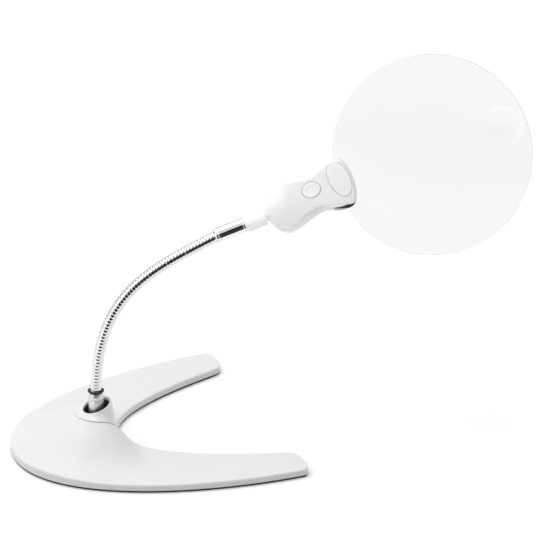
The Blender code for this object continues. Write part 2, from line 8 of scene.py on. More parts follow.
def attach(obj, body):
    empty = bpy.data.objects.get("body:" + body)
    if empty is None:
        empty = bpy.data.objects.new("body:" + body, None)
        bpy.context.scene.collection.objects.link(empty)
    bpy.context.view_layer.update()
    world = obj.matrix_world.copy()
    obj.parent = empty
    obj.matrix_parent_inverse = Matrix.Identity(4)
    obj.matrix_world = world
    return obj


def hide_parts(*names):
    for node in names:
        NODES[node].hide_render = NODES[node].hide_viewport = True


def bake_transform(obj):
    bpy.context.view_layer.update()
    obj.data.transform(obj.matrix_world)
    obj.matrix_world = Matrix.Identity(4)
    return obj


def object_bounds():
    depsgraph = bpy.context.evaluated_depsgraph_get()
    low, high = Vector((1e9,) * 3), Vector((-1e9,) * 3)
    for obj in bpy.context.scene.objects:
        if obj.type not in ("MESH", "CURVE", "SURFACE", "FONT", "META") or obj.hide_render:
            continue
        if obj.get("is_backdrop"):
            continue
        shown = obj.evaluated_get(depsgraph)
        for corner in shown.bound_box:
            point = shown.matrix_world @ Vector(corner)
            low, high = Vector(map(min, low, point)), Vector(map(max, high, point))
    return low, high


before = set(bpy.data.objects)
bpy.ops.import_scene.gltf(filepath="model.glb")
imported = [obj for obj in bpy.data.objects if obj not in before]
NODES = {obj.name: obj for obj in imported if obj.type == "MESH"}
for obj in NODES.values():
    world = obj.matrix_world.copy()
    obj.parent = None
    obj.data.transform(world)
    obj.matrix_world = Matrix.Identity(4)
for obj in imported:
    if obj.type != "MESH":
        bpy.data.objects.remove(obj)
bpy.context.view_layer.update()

MM = 0.001

# ================================================================== driving sizes, as in the CAD (mm)
NOSE_X, TIP_X = -57.4, 115.0
TIP_INNER_Y, TIP_OUTER_Y = 66.9, 92.3
NOTCH_X = 15.6
OUTER_HANDLES = (59.0, 85.0, 0.0)
INNER_HANDLES = (28.0, 59.0, 0.289)
TIP_CORNER_R = 6.0
LEG_TOP = 5.7
SHELL_BOTTOM = 1.5
HUMP_H, HUMP_X = 20.2, -9.0
HUMP_NOSE, HUMP_NOTCH, HUMP_SIDE = 27.0, 22.5, 36.0
RIM_Z, RIM_TILT = 30.4, radians(18.0)
HOLE_R, TUBE_R, FLANGE_R = 8.7, 9.9, 14.6
TUBE_BOTTOM = 7.0
NECK_TURN = radians(-13.46)
FERRULE_R, NECK_R = 5.1, 3.8
NECK_FROM, NECK_TO = Vector((0.1, 41.6)), Vector((79.7, 146.0))
NECK_LEAN, NECK_END = radians(88.3), radians(26.4)
NECK_HANDLES = (69.9, 45.6)
STEM_RISE = radians(20.0)
SEGMENTS = 10
SLEEVE_LEN, STEM_LEN, STEM_R = 20.6, 14.6, 5.6
HEAD_RISE, LENS_TIP = radians(18.04), radians(26.12)
LENS_AT = Vector((215.7, -51.6, 194.7))
LENS_R, LENS_EDGE, LENS_DOME = 65.0, 2.4, 2.6
SPOT_AT, SPOT_R, SPOT_DOME = (48.4, 0.6), 13.4, 2.0
HEEL_U, CLAMP_U = -113.9, -52.8
WAIST_U, WAIST_W, HEEL_W, CLAMP_W = -78.0, 13.1, 17.2, 16.8
FRONT_N, BACK_N = 8.8, -15.6
BUTTON_AT, BUTTON_R = (-81.3, 4.9), (6.5, 5.35)
PANEL_AT, PANEL_R, PANEL_TURN = (-61.7, 5.6), (7.2, 13.0), radians(7.5)


# ================================================================== node helpers
class Nodes:
    """A short way to build a material's node tree."""

    def __init__(self, name):
        self.mat = bpy.data.materials.new(name)
        self.mat.use_nodes = True
        self.tree = self.mat.node_tree
        self.bsdf = self.tree.nodes["Principled BSDF"]
        self.coord = self.tree.nodes.new("ShaderNodeTexCoord")

    def new(self, kind, **settings):
        node = self.tree.nodes.new(kind)
        for key, value in settings.items():
            if hasattr(node, key):
                setattr(node, key, value)
            else:
                node.inputs[key.replace("_", " ")].default_value = value
        return node

    def link(self, a, b):
        self.tree.links.new(a, b)

    def noise(self, scale, detail=3.0, roughness=0.55, stretch=None):
        node = self.new("ShaderNodeTexNoise", Scale=scale, Detail=detail, Roughness=roughness)
        source = self.coord.outputs["Object"]
        if stretch:
            mapping = self.new("ShaderNodeMapping")
            mapping.inputs["Scale"].default_value = stretch
            self.link(source, mapping.inputs["Vector"])
            source = mapping.outputs["Vector"]
        self.link(source, node.inputs["Vector"])
        return node.outputs["Fac"]

    def ramp(self, source, stops):
        node = self.new("ShaderNodeValToRGB")
        ramp = node.color_ramp
        while len(ramp.elements) < len(stops):
            ramp.elements.new(0.5)
        for element, (at, colour) in zip(ramp.elements, stops):
            element.position = at
            element.color = (*colour, 1.0)
        self.link(source, node.inputs["Fac"])
        return node.outputs["Color"]

    def spread(self, source, low, high):
        node = self.new("ShaderNodeMapRange")
        node.inputs["To Min"].default_value = low
        node.inputs["To Max"].default_value = high
        node.inputs["From Min"].default_value = 0.3
        node.inputs["From Max"].default_value = 0.7
        self.link(source, node.inputs["Value"])
        return node.outputs["Result"]

    def bump(self, source, strength, distance, before=None):
        node = self.new("ShaderNodeBump")
        node.inputs["Strength"].default_value = strength
        node.inputs["Distance"].default_value = distance
        self.link(source, node.inputs["Height"])
        if before is not None:
            self.link(before, node.inputs["Normal"])
        return node.outputs["Normal"]

    def set(self, **values):
        for key, value in values.items():
            socket = self.bsdf.inputs[key.replace("_", " ")]
            if hasattr(value, "is_linked") or hasattr(value, "links"):
                self.link(value, socket)
            else:
                socket.default_value = value
        return self.mat


def white_plastic(name, light=(0.86, 0.86, 0.875), dark=(0.83, 0.83, 0.85), low=0.24, high=0.30, coat=0.25):
    n = Nodes(name)
    colour = n.ramp(n.noise(35.0, 2.0), ((0.35, dark), (0.65, light)))
    grain = n.noise(2600.0, 2.0, 0.6)
    wave = n.noise(60.0, 1.0, 0.4)
    normal = n.bump(wave, 0.008, 0.0002)
    normal = n.bump(grain, 0.03, 0.00003, normal)
    rough = n.spread(n.noise(180.0, 4.0, 0.65), low, high)
    n.set(Base_Color=colour, Roughness=rough, Normal=normal)
    n.bsdf.inputs["IOR"].default_value = 1.5
    n.bsdf.inputs["Coat Weight"].default_value = coat
    n.bsdf.inputs["Coat Roughness"].default_value = 0.12
    return n.mat


def chrome(name, tint=(0.86, 0.87, 0.89), stretch=(1.0, 1.0, 1.0), low=0.035, high=0.11):
    n = Nodes(name)
    colour = n.ramp(
        n.noise(90.0, 3.0),
        ((0.3, tuple(c * 0.95 for c in tint)), (0.7, tint)),
    )
    rough = n.spread(n.noise(700.0, 5.0, 0.7, stretch), low, high)
    normal = n.bump(n.noise(1500.0, 3.0, 0.6, stretch), 0.04, 0.00004)
    n.set(Base_Color=colour, Metallic=1.0, Roughness=rough, Normal=normal)
    return n.mat


def steel(name):
    n = Nodes(name)
    colour = n.ramp(n.noise(160.0, 5.0, 0.6), ((0.3, (0.30, 0.30, 0.31)), (0.7, (0.46, 0.46, 0.47))))
    rough = n.spread(n.noise(900.0, 4.0, 0.6, (1.0, 9.0, 1.0)), 0.28, 0.5)
    normal = n.bump(n.noise(1800.0, 3.0, 0.6, (1.0, 9.0, 1.0)), 0.1, 0.00005)
    n.set(Base_Color=colour, Metallic=1.0, Roughness=rough, Normal=normal)
    return n.mat


def rubber(name, light=(0.030, 0.030, 0.032), dark=(0.012, 0.012, 0.013)):
    n = Nodes(name)
    colour = n.ramp(n.noise(400.0, 4.0, 0.6), ((0.3, dark), (0.7, light)))
    rough = n.spread(n.noise(700.0, 3.0, 0.6), 0.55, 0.8)
    normal = n.bump(n.noise(3200.0, 3.0, 0.7), 0.35, 0.00008)
    n.set(Base_Color=colour, Roughness=rough, Normal=normal)
    return n.mat


def lens_glass(name):
    n = Nodes(name)
    colour = n.ramp(n.noise(14.0, 2.0), ((0.3, (0.895, 0.898, 0.90)), (0.7, (0.905, 0.906, 0.907))))
    rough = n.spread(n.noise(40.0, 4.0, 0.6), 0.0, 0.012)
    n.set(Base_Color=colour, Roughness=rough)
    n.bsdf.inputs["Transmission Weight"].default_value = 1.0
    n.bsdf.inputs["IOR"].default_value = 1.49
    return n.mat


def brass(name):
    n = Nodes(name)
    colour = n.ramp(n.noise(300.0, 4.0), ((0.3, (0.60, 0.44, 0.20)), (0.7, (0.78, 0.62, 0.34))))
    rough = n.spread(n.noise(800.0, 4.0), 0.2, 0.4)
    n.set(Base_Color=colour, Metallic=1.0, Roughness=rough)
    return n.mat


def board(name):
    n = Nodes(name)
    colour = n.ramp(n.noise(500.0, 4.0), ((0.4, (0.012, 0.12, 0.05)), (0.6, (0.03, 0.22, 0.10))))
    rough = n.spread(n.noise(900.0, 3.0), 0.3, 0.5)
    normal = n.bump(n.noise(1500.0, 3.0), 0.2, 0.00008)
    n.set(Base_Color=colour, Roughness=rough, Normal=normal)
    return n.mat


def cell_wrap(name):
    n = Nodes(name)
    colour = n.ramp(n.noise(120.0, 3.0), ((0.4, (0.07, 0.09, 0.13)), (0.6, (0.14, 0.17, 0.22))))
    rough = n.spread(n.noise(500.0, 3.0), 0.25, 0.4)
    normal = n.bump(n.noise(900.0, 3.0), 0.1, 0.00006)
    n.set(Base_Color=colour, Roughness=rough, Normal=normal)
    return n.mat


def led_epoxy(name):
    n = Nodes(name)
    colour = n.ramp(n.noise(700.0, 2.0), ((0.35, (0.93, 0.90, 0.62)), (0.65, (0.97, 0.95, 0.82))))
    rough = n.spread(n.noise(600.0, 2.0), 0.05, 0.14)
    n.set(Base_Color=colour, Roughness=rough)
    n.bsdf.inputs["Coat Weight"].default_value = 0.6
    n.bsdf.inputs["Coat Roughness"].default_value = 0.05
    return n.mat


MAT = {
    "shell": white_plastic("mat_base_white", (0.735, 0.74, 0.76), (0.73, 0.735, 0.755), 0.44, 0.50, 0.04),
    "collar": white_plastic("mat_collar_white", (0.775, 0.775, 0.80), (0.768, 0.768, 0.793), 0.18, 0.24),
    "head": white_plastic("mat_head_white", (0.875, 0.875, 0.875), (0.868, 0.868, 0.869), 0.22, 0.28),
    # painted light: the rear shell's white is lighter than the head's so its band under the front shell, which lies
    # in shade, reads bright; the battery door shares this white
    "rear": white_plastic("mat_rear_white_painted_light", (0.95, 0.945, 0.955), (0.94, 0.935, 0.945), 0.26, 0.32),
    "button": white_plastic("mat_button_white", (0.89, 0.90, 0.895), (0.87, 0.88, 0.875), 0.22, 0.34),
    "panel": white_plastic("mat_panel_white", (0.895, 0.895, 0.895), (0.875, 0.875, 0.88), 0.14, 0.24),
    # painted light: the stem's white is made lighter than the head's to make up for the light that falls short on it
    "stem": white_plastic("mat_stem_white_painted_light", (0.95, 0.94, 0.975), (0.94, 0.93, 0.965)),
    "hose": chrome("mat_hose_chrome", (0.76, 0.76, 0.78), low=0.06, high=0.14),
    "tube": chrome("mat_ferrule_chrome", stretch=(1.0, 1.0, 0.15)),
    "satin": chrome("mat_satin_chrome", (0.70, 0.70, 0.72), (1.0, 1.0, 0.15), 0.30, 0.42),
    "steel": steel("mat_steel"),
    "rubber": rubber("mat_rubber_black"),
    "black": rubber("mat_plastic_black", (0.020, 0.020, 0.022), (0.010, 0.010, 0.011)),
    "lens": lens_glass("mat_lens_acrylic"),
    "brass": brass("mat_contact_brass"),
    "board": board("mat_board_green"),
    "cell": cell_wrap("mat_cell_wrap"),
    "led": led_epoxy("mat_led_epoxy"),
    "grey": white_plastic("mat_nut_grey", (0.70, 0.71, 0.73), (0.66, 0.67, 0.69), 0.35, 0.5),
}


# ================================================================== mesh helpers
def piece(name, bm, mat, matrix=None, sharp=35.0):
    """A finished piece from bm, whose points are in millimetres in matrix's frame; the result is in the row frame."""
    bmesh.ops.scale(bm, vec=(MM, MM, MM), verts=bm.verts)
    if matrix is not None:
        bmesh.ops.transform(bm, matrix=matrix, verts=bm.verts)
    bmesh.ops.recalc_face_normals(bm, faces=bm.faces)
    mesh = bpy.data.meshes.new(name)
    bm.to_mesh(mesh)
    bm.free()
    obj = bpy.data.objects.new(name, mesh)
    bpy.context.scene.collection.objects.link(obj)
    if mat is not None:
        mesh.materials.append(mat)
    mesh.shade_smooth()
    if sharp:
        mesh.set_sharp_from_angle(angle=radians(sharp))
    return obj


def boolean(target, cutters, operation="DIFFERENCE", sharp=35.0):
    """target's mesh with the cutters taken away from it, or joined to it."""
    for other in cutters:
        step = target.modifiers.new(other.name, "BOOLEAN")
        step.operation = operation
        step.solver = "EXACT"
        step.object = other
    graph = bpy.context.evaluated_depsgraph_get()
    made = bpy.data.meshes.new_from_object(target.evaluated_get(graph))
    target.modifiers.clear()
    old = target.data
    keep = list(old.materials)
    target.data = made
    made.materials.clear()
    for mat in keep:
        made.materials.append(mat)
    for face in made.polygons:
        face.material_index = 0
    bpy.data.meshes.remove(old)
    made.shade_smooth()
    if sharp:
        made.set_sharp_from_angle(angle=radians(sharp))
    for other in cutters:
        data = other.data
        bpy.data.objects.remove(other, do_unlink=True)
        bpy.data.meshes.remove(data)
    return target


def loft(rings, loop=False):
    bm = bmesh.new()
    made = [[bm.verts.new(p) for p in ring] for ring in rings]
    pairs = list(zip(made, made[1:])) + ([(made[-1], made[0])] if loop else [])
    count = len(rings[0])
    for a, b in pairs:
        for i in range(count):
            j = (i + 1) % count
            bm.faces.new((a[i], a[j], b[j], b[i]))
    if not loop:
        bm.faces.new(list(reversed(made[0])))
        bm.faces.new(made[-1])
    return bm


def circle(radius, count, height=0.0, centre=(0.0, 0.0)):
    return [
        (
            centre[0] + radius * cos(2 * pi * i / count),
            centre[1] + radius * sin(2 * pi * i / count),
            height,
        )
        for i in range(count)
    ]


def turned(profile, count, centre=(0.0, 0.0), loop=False):
    return loft([circle(r, count, z, centre) for r, z in profile], loop)


def cubic(points, t):
    a, b, c, d = (Vector(p) for p in points)
    s = 1 - t
    return a * s**3 + b * 3 * s * s * t + c * 3 * s * t * t + d * t**3


def ease(x):
    x = min(max(x, 0.0), 1.0)
    return x * x * (3 - 2 * x)


def rounded(points, radius, steps=4):
    """A polyline of (r, z) pairs with each inner corner rounded by up to radius."""
    out = [points[0]]
    for before, here, after in zip(points, points[1:], points[2:]):
        p, q, s = Vector(before), Vector(here), Vector(after)
        a, b = p - q, s - q
        if a.length < 1e-6 or b.length < 1e-6:
            out.append(here)
            continue
        reach = min(radius, a.length * 0.48, b.length * 0.48)
        start, stop = q + a.normalized() * reach, q + b.normalized() * reach
        for i in range(steps + 1):
            t = i / steps
            out.append(tuple(start * (1 - t) ** 2 + q * 2 * t * (1 - t) + stop * t * t))
    out.append(points[-1])
    return out


# ================================================================== base
def outer_edge(t):
    bulge, reach, slope = OUTER_HANDLES
    points = (
        (NOSE_X, 0),
        (NOSE_X, bulge),
        (TIP_X - reach, TIP_OUTER_Y - slope * reach),
        (TIP_X, TIP_OUTER_Y),
    )
    return cubic(points, t + 0.56 * t * (1 - t))


def inner_edge(t):
    bulge, reach, slope = INNER_HANDLES
    points = (
        (NOTCH_X, 0),
        (NOTCH_X, bulge),
        (TIP_X - reach, TIP_INNER_Y - slope * reach),
        (TIP_X, TIP_INNER_Y),
    )
    return cubic(points, t)


def hump(x, y):
    if x < HUMP_X:
        along = exp(-(((HUMP_X - x) / HUMP_NOSE) ** 2))
    else:
        along = exp(-(((x - HUMP_X) / HUMP_NOTCH) ** 4))
    return HUMP_H * along * exp(-((abs(y) / HUMP_SIDE) ** 3))


def shell_top(x, y):
    return LEG_TOP + hump(x, y)


def base_body(inset, bottom, top, edge, across, ribs, turns=5):
    """The horseshoe, lofted rib by rib; the upper edge is a quarter round of radius edge."""
    rings = []
    corner = max(TIP_CORNER_R - inset, 1.5)
    tip = [0.046 * (1 - (i / 12) ** 0.5) for i in range(13)]
    stations = [(1 - tip[0]) * i / ribs for i in range(ribs)] + [1 - d for d in tip]
    for side in (-1, 1):
        for t in stations if side > 0 else list(reversed(stations))[:-1]:
            a, b = inner_edge(t), outer_edge(t)
            middle = (a + b) / 2
            to_end = TIP_X - middle.x
            half = (b - a).length / 2 - inset
            direction = (b - a).normalized()
            if t >= stations[ribs - 1] and to_end < corner + 0.01:
                half += sqrt(max(corner**2 - (corner - to_end) ** 2, 0)) - corner
            if t >= stations[ribs]:
                middle = middle - Vector((inset, 0))
            steps = [(0.0, None), (0.0, edge + 1.0)]
            for i in range(turns + 1):
                a_turn = pi / 2 * i / turns
                steps.append((edge * (1 - cos(a_turn)), edge * (1 - sin(a_turn))))
            span = 2 * half - 2 * edge
            flat = [edge + span * i / across for i in range(1, across)]
            offsets = (
                steps
                + [(d, 0.0) for d in flat]
                + [(2 * half - d, drop) for d, drop in reversed(steps)]
            )
            ring = []
            for d, drop in offsets:
                p = middle + direction * (d - half)
                z = bottom if drop is None else top(p.x, p.y) - drop
                ring.append((p.x, side * p.y, z))
            rings.append(ring)
    return loft(rings)


shell = piece("base_shell_skin", base_body(0.0, SHELL_BOTTOM, shell_top, 1.5, 30, 64), MAT["shell"], sharp=50)
hole = piece("hole", turned(((TUBE_R + 0.3, 2.6), (TUBE_R + 0.3, 45.0)), 96), None)
boolean(shell, [hole], sharp=50)
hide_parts("base_shell")
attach(shell, "base")

pad = piece("base_pad", base_body(0.7, 0.0, lambda x, y: 1.25, 0.25, 6, 64, 2), MAT["rubber"], sharp=50)
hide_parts("anti_slip_pad")
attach(pad, "base")


# ---- collar
def rim(radius, angle, lift=0.0):
    x, y = radius * cos(angle), radius * sin(angle)
    return Vector((x, y, RIM_Z + lift + x * sin(RIM_TILT) / cos(RIM_TILT)))


def seated(radius, angle, lift):
    x, y = radius * cos(angle), radius * sin(angle)
    return Vector((x, y, shell_top(x, y) + lift))


def flange(angle):
    x = FLANGE_R * cos(angle)
    return FLANGE_R if x < 12.4 else 12.4 / cos(angle)


def collar_rings(sides):
    angles = [2 * pi * i / sides for i in range(sides)]
    rings = [[Vector((HOLE_R * cos(a), HOLE_R * sin(a), TUBE_BOTTOM)) for a in angles]]
    rings.append([rim(HOLE_R, a, -1.1) for a in angles])
    for i in range(6):  # rolled lip of the mouth
        turn = pi * i / 5
        r, lift = HOLE_R + 0.75 - 0.75 * cos(turn), -0.75 + 0.75 * sin(turn)
        rings.append([rim(r, a, lift) for a in angles])
    for i in range(1, 9):  # flank, hollowed a little
        t = i / 8
        row = []
        for a in angles:
            top, low = rim(HOLE_R + 1.6, a, -1.1), seated(flange(a), a, 0.75)
            p = top.lerp(low, t)
            p.z -= 0.9 * sin(pi * t) * min(1.0, max(top.z - low.z, 0.0) / 8)
            row.append(p)
        rings.append(row)
    rings.append([seated(flange(a), a, 0.2) for a in angles])
    rings.append([seated(TUBE_R, a, 0.2) for a in angles])
    rings.append([Vector((TUBE_R * cos(a), TUBE_R * sin(a), TUBE_BOTTOM)) for a in angles])
    return rings


collar = piece("socket_collar_skin", loft(collar_rings(120), loop=True), MAT["collar"], sharp=50)
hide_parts("socket_collar")
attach(collar, "base")

liner_sides = 96
liner_angles = [2 * pi * i / liner_sides for i in range(liner_sides)]
liner = piece(
    "socket_liner",
    loft(
        [
            [Vector((5.25 * cos(a), 5.25 * sin(a), 8.4)) for a in liner_angles],
            [Vector((5.25 * cos(a), 5.25 * sin(a), 17.8)) for a in liner_angles],
            [Vector((6.1 * cos(a), 6.1 * sin(a), 18.6)) for a in liner_angles],
            [Vector((7.9 * cos(a), 7.9 * sin(a), 18.8)) for a in liner_angles],
            [rim(8.0, a, -2.2) for a in liner_angles],
            [rim(8.3, a, -1.8) for a in liner_angles],
            [rim(8.62, a, -2.1) for a in liner_angles],
            [Vector((8.62 * cos(a), 8.62 * sin(a), 8.4)) for a in liner_angles],
        ],
        loop=True,
    ),
    MAT["rubber"],
    sharp=50,
)
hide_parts("socket_bush")
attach(liner, "base")

# ================================================================== neck
ferrule_profile = rounded(
    (
        (0.6, 8.8),
        (4.9, 8.8),
        (5.05, 9.6),
        (5.05, 33.9),
        (4.75, 34.2),
        (4.75, 34.9),
        (5.05, 35.2),
        (5.05, 37.4),
        (4.45, 39.6),
        (3.2, 39.75),
    ),
    0.35,
)
ferrule = piece("lower_ferrule_skin", turned(ferrule_profile, 96), MAT["satin"], sharp=50)
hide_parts("lower_ferrule")
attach(ferrule, "neck_foot")

ring_profile = []
for i in range(20):
    a = 2 * pi * i / 20
    ring_profile.append((4.45 + 1.0 * cos(a), 40.9 + 0.55 * sin(a)))
neck_ring = piece("neck_ring_skin", turned(ring_profile, 72, loop=True), MAT["rubber"], sharp=60)
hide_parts("neck_ring")
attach(neck_ring, "neck_foot")


def neck_point(t):
    start = NECK_FROM + Vector((cos(NECK_LEAN), sin(NECK_LEAN))) * NECK_HANDLES[0]
    end = NECK_TO - Vector((cos(NECK_END), sin(NECK_END))) * NECK_HANDLES[1]
    return cubic((NECK_FROM, start, end, NECK_TO), t)


def in_plane(reach, height):
    return Vector((reach * cos(NECK_TURN), reach * sin(NECK_TURN), height))


STEPS = 800
trace = [neck_point(i / STEPS) for i in range(STEPS + 1)]
lengths = [0.0]
for p, q in zip(trace, trace[1:]):
    lengths.append(lengths[-1] + (q - p).length)
NECK_LEN = lengths[-1]
sideways = Vector((sin(NECK_TURN), -cos(NECK_TURN), 0.0))


def along_neck(distance):
    """(point, direction) on the neck's centreline; beyond its ends the line runs straight on."""
    inside = min(max(distance, 0.0), NECK_LEN)
    low, high = 0, STEPS
    while high - low > 1:
        mid = (low + high) // 2
        if lengths[mid] <= inside:
            low = mid
        else:
            high = mid
    part = (inside - lengths[low]) / (lengths[low + 1] - lengths[low])
    point = trace[low].lerp(trace[low + 1], part)
    t = (low + part) / STEPS
    ahead = neck_point(min(t + 0.01, 1.0)) - neck_point(max(t - 0.01, 0.0))
    direction = in_plane(*ahead).normalized()
    return in_plane(*point) + direction * (distance - inside), direction


COIL_PITCH = 2.35
COIL_SIDES = 40
COIL_STEP = COIL_PITCH / 10


def coil_radius(distance, angle):
    """Round wire wound close: a full round ridge with a narrow groove between turns."""
    phase = (distance / COIL_PITCH - angle / (2 * pi)) % 1.0
    x = abs(phase - 0.5) * 2  # 0 on the ridge, 1 in the groove
    wire = sqrt(max(1 - (x * 0.985) ** 2, 0.0))
    return NECK_R - 0.30 * (1 - wire)


def hose(start, stop):
    """A length of the coiled hose, closed at both ends."""
    count = max(int(round((stop - start) / COIL_STEP)), 4)
    rings = []
    for i in range(count + 1):
        distance = start + (stop - start) * i / count
        point, direction = along_neck(distance)
        up = sideways.cross(direction)
        row = []
        for k in range(COIL_SIDES):
            a = 2 * pi * k / COIL_SIDES
            r = coil_radius(distance, a)
            row.append(point + sideways * (r * cos(a)) + up * (r * sin(a)))
        rings.append(row)
    return loft(rings)


pitch = NECK_LEN / SEGMENTS
for k in range(1, SEGMENTS):
    begin = (k - 0.5) * pitch if k > 1 else -0.25
    end = (k + 0.5) * pitch if k < SEGMENTS - 1 else NECK_LEN + 0.9
    part = piece(f"hose_{k}", hose(begin, end), MAT["hose"], sharp=80)
    # two points on the centreline, on either side of the seam; nothing below uses them
    a, _ = along_neck((k - 0.46) * pitch)
    b, _ = along_neck((k + 0.46) * pitch)
    names = [f"gooseneck_{k:02d}"] + (["gooseneck_10"] if k == SEGMENTS - 1 else [])
    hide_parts(*names)
    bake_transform(part)

# ================================================================== head frame
HEAD_AXIS = in_plane(cos(HEAD_RISE), sin(HEAD_RISE))
LENS_NORMAL = Matrix.Rotation(-LENS_TIP, 3, HEAD_AXIS) @ sideways
ACROSS = LENS_NORMAL.cross(HEAD_AXIS)
head_frame = Matrix.Translation(LENS_AT * MM) @ Matrix(
    (
        (HEAD_AXIS.x, ACROSS.x, LENS_NORMAL.x, 0),
        (HEAD_AXIS.y, ACROSS.y, LENS_NORMAL.y, 0),
        (HEAD_AXIS.z, ACROSS.z, LENS_NORMAL.z, 0),
        (0, 0, 0, 1),
    )
)
STEM_AXIS = in_plane(cos(STEM_RISE), sin(STEM_RISE))
heel = LENS_AT + HEAD_AXIS * HEEL_U + ACROSS * -0.8
stem_frame = Matrix.Translation(heel * MM) @ Vector((0, 0, 1)).rotation_difference(
    STEM_AXIS
).to_matrix().to_4x4()

sleeve_low = -STEM_LEN - SLEEVE_LEN
sleeve_profile = rounded(
    (
        (3.0, sleeve_low - 0.5),
        (4.3, sleeve_low - 0.5),
        (5.05, sleeve_low + 0.5),
        (5.05, sleeve_low + 1.5),
        (4.85, sleeve_low + 1.7),
        (4.85, sleeve_low + 2.1),
        (5.05, sleeve_low + 2.3),
        (5.05, -STEM_LEN - 1.9),
        (4.85, -STEM_LEN - 1.7),
        (4.85, -STEM_LEN - 1.4),
        (5.05, -STEM_LEN - 1.2),
        (5.0, -STEM_LEN - 0.3),
        (2.0, -STEM_LEN - 0.3),
    ),
    0.3,
)
sleeve = piece("upper_sleeve_skin", turned(sleeve_profile, 96), MAT["tube"], stem_frame, 50)
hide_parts("upper_ferrule")
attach(sleeve, "neck_top")

stem_profile = rounded(
    (
        (1.0, -STEM_LEN),
        (STEM_R - 0.25, -STEM_LEN),
        (STEM_R, -STEM_LEN + 0.6),
        (STEM_R + 0.05, -1.6),
        (STEM_R - 0.5, -0.7),
        (3.4, -0.6),
        (3.4, 3.6),
        (0.5, 3.6),
    ),
    0.4,
)
stem = piece("head_stem_skin", turned(stem_profile, 96), MAT["stem"], stem_frame, 50)
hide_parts("head_stem")
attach(stem, "head")


def half_width(u, heel_in, clamp_in, side_in):
    if u < WAIST_U:
        wide = WAIST_W + (HEEL_W - WAIST_W) * ease((WAIST_U - u) / 24)
    else:
        wide = WAIST_W + (CLAMP_W - WAIST_W) * ease((u - WAIST_U) / 13)
    wide -= side_in
    heel_end, clamp_end = HEEL_U + heel_in, CLAMP_U - clamp_in
    round_heel, round_clamp = 13.0, max(9.0 - side_in * 0.6, 4.0)
    if u < heel_end + round_heel:
        wide *= sqrt(max(1 - ((heel_end + round_heel - u) / round_heel) ** 2, 0.0))
    if u > clamp_end - round_clamp:
        d = (u - clamp_end + round_clamp) / round_clamp
        wide *= sqrt(max(1 - d**2.8, 0.0))
    return wide


def middle_line(u):
    return 0.5 + 2.3 * ease((u + 104.0) / 40.0)


def outline(heel_in=0.0, clamp_in=0.0, top_in=0.0, low_in=0.0, n=0.0, count=56):
    """The head's outline at one depth; low_in may be a function of u."""
    start, stop = HEEL_U + heel_in, CLAMP_U - clamp_in
    stations = [start + (stop - start) * (1 - cos(pi * i / count)) / 2 for i in range(count + 1)]
    low = low_in if callable(low_in) else (lambda u: low_in)
    upper = [(u, middle_line(u) + half_width(u, heel_in, clamp_in, top_in), n) for u in stations]
    lower = [
        (u, middle_line(u) - half_width(u, heel_in, clamp_in, low(u)), n)
        for u in reversed(stations[1:-1])
    ]
    return upper + lower


def ledge(u):
    """How far the front shell stands back from the rear one along the lower side."""
    waist = ease((u + 112.0) / 12.0) * (1 - ease((u + 79.0) / 12.0))
    clamp = ease((u + 75.2) / 8.2) * (1 - 0.55 * ease((u + 64.0) / 9.0))
    belly = ease((u + 104.0) / 10.0) * (1 - ease((u + 86.0) / 12.0))
    return 2.6 * waist + 2.2 * clamp + 2.0 * belly


def disc(centre, radii, levels, count=72, turn=0.0):
    rings = []
    for inset, n in levels:
        ring = []
        for i in range(count):
            a = 2 * pi * i / count
            x, y = (radii[0] - inset) * cos(a), (radii[1] - inset) * sin(a)
            ring.append(
                (
                    centre[0] + x * cos(turn) - y * sin(turn),
                    centre[1] + x * sin(turn) + y * cos(turn),
                    n,
                )
            )
        rings.append(ring)
    return loft(rings)


def block(low, high):
    bm = bmesh.new()
    bmesh.ops.create_cube(bm, size=1.0)
    for vert in bm.verts:
        for k in range(3):
            vert.co[k] = low[k] if vert.co[k] < 0 else high[k]
    return bm


# front shell: flat face, quick round at the sides and a long round over the heel
front_rings = [outline(low_in=lambda u: ledge(u) + 1.2, n=0.2)]
TURNS = 12
for i in range(TURNS + 1):
    q = i / TURNS
    drop = 1 - cos(q * pi / 2)
    height = sin(q * pi / 2)
    front_rings.append(
        outline(
            12.5 * drop**1.1,
            2.4 * drop,
            3.4 * drop,
            lambda u, d=drop: ledge(u) + 4.2 * d * (1 - 0.6 * ease((u + 110) / 12)),
            0.2 + (FRONT_N - 0.2) * height**0.9,
        )
    )
front = piece("head_front_skin", loft(front_rings), MAT["head"], head_frame, 40)
PANEL_MID = (PANEL_AT[0] - 0.3, PANEL_AT[1])
cutters = [
    piece("cut_a", turned(((LENS_R + 0.5, -2.3), (LENS_R + 0.5, 2.3)), 256), None, head_frame),
    piece("cut_b", disc(BUTTON_AT, (BUTTON_R[0] - 0.1, BUTTON_R[1] - 0.1), ((0, 4.5), (0, 12.0))), None, head_frame),
    piece("cut_c", disc(PANEL_MID, (PANEL_R[0] - 0.15, PANEL_R[1] - 0.75), ((0, 7.6), (0, 14.0)), 96, PANEL_TURN), None, head_frame),
]


def slab_under(name, at, across, tip):
    """A thick slab whose lower face passes through at, along the direction across, tipped down towards its other side."""
    x_dir = Vector((across[0], across[1], 0.0)).normalized()
    away = Vector((0.0, 0.0, 1.0)).cross(x_dir)
    y_dir = away * cos(tip) - Vector((0.0, 0.0, 1.0)) * sin(tip)
    z_dir = x_dir.cross(y_dir)
    frame_of = Matrix((x_dir, y_dir, z_dir)).transposed().to_4x4()
    frame_of.translation = Vector(at)
    bm = block((-60.0, 0.0, 0.0), (60.0, 60.0, 40.0))
    bmesh.ops.transform(bm, matrix=frame_of, verts=bm.verts)
    return piece(name, bm, None, head_frame)


# the heel falls away from the flat face in one plane, and so does its lower corner
cutters.append(slab_under("cut_heel", (-98.0, 1.4, FRONT_N), (0.341, 0.94), radians(14.0)))
cutters.append(slab_under("cut_corner", (BUTTON_AT[0] - 11.6, BUTTON_AT[1] - 10.4, FRONT_N), (-0.921, 0.394), radians(27.0)))
boolean(front, cutters, sharp=40)
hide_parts("head_front_shell")
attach(front, "head")

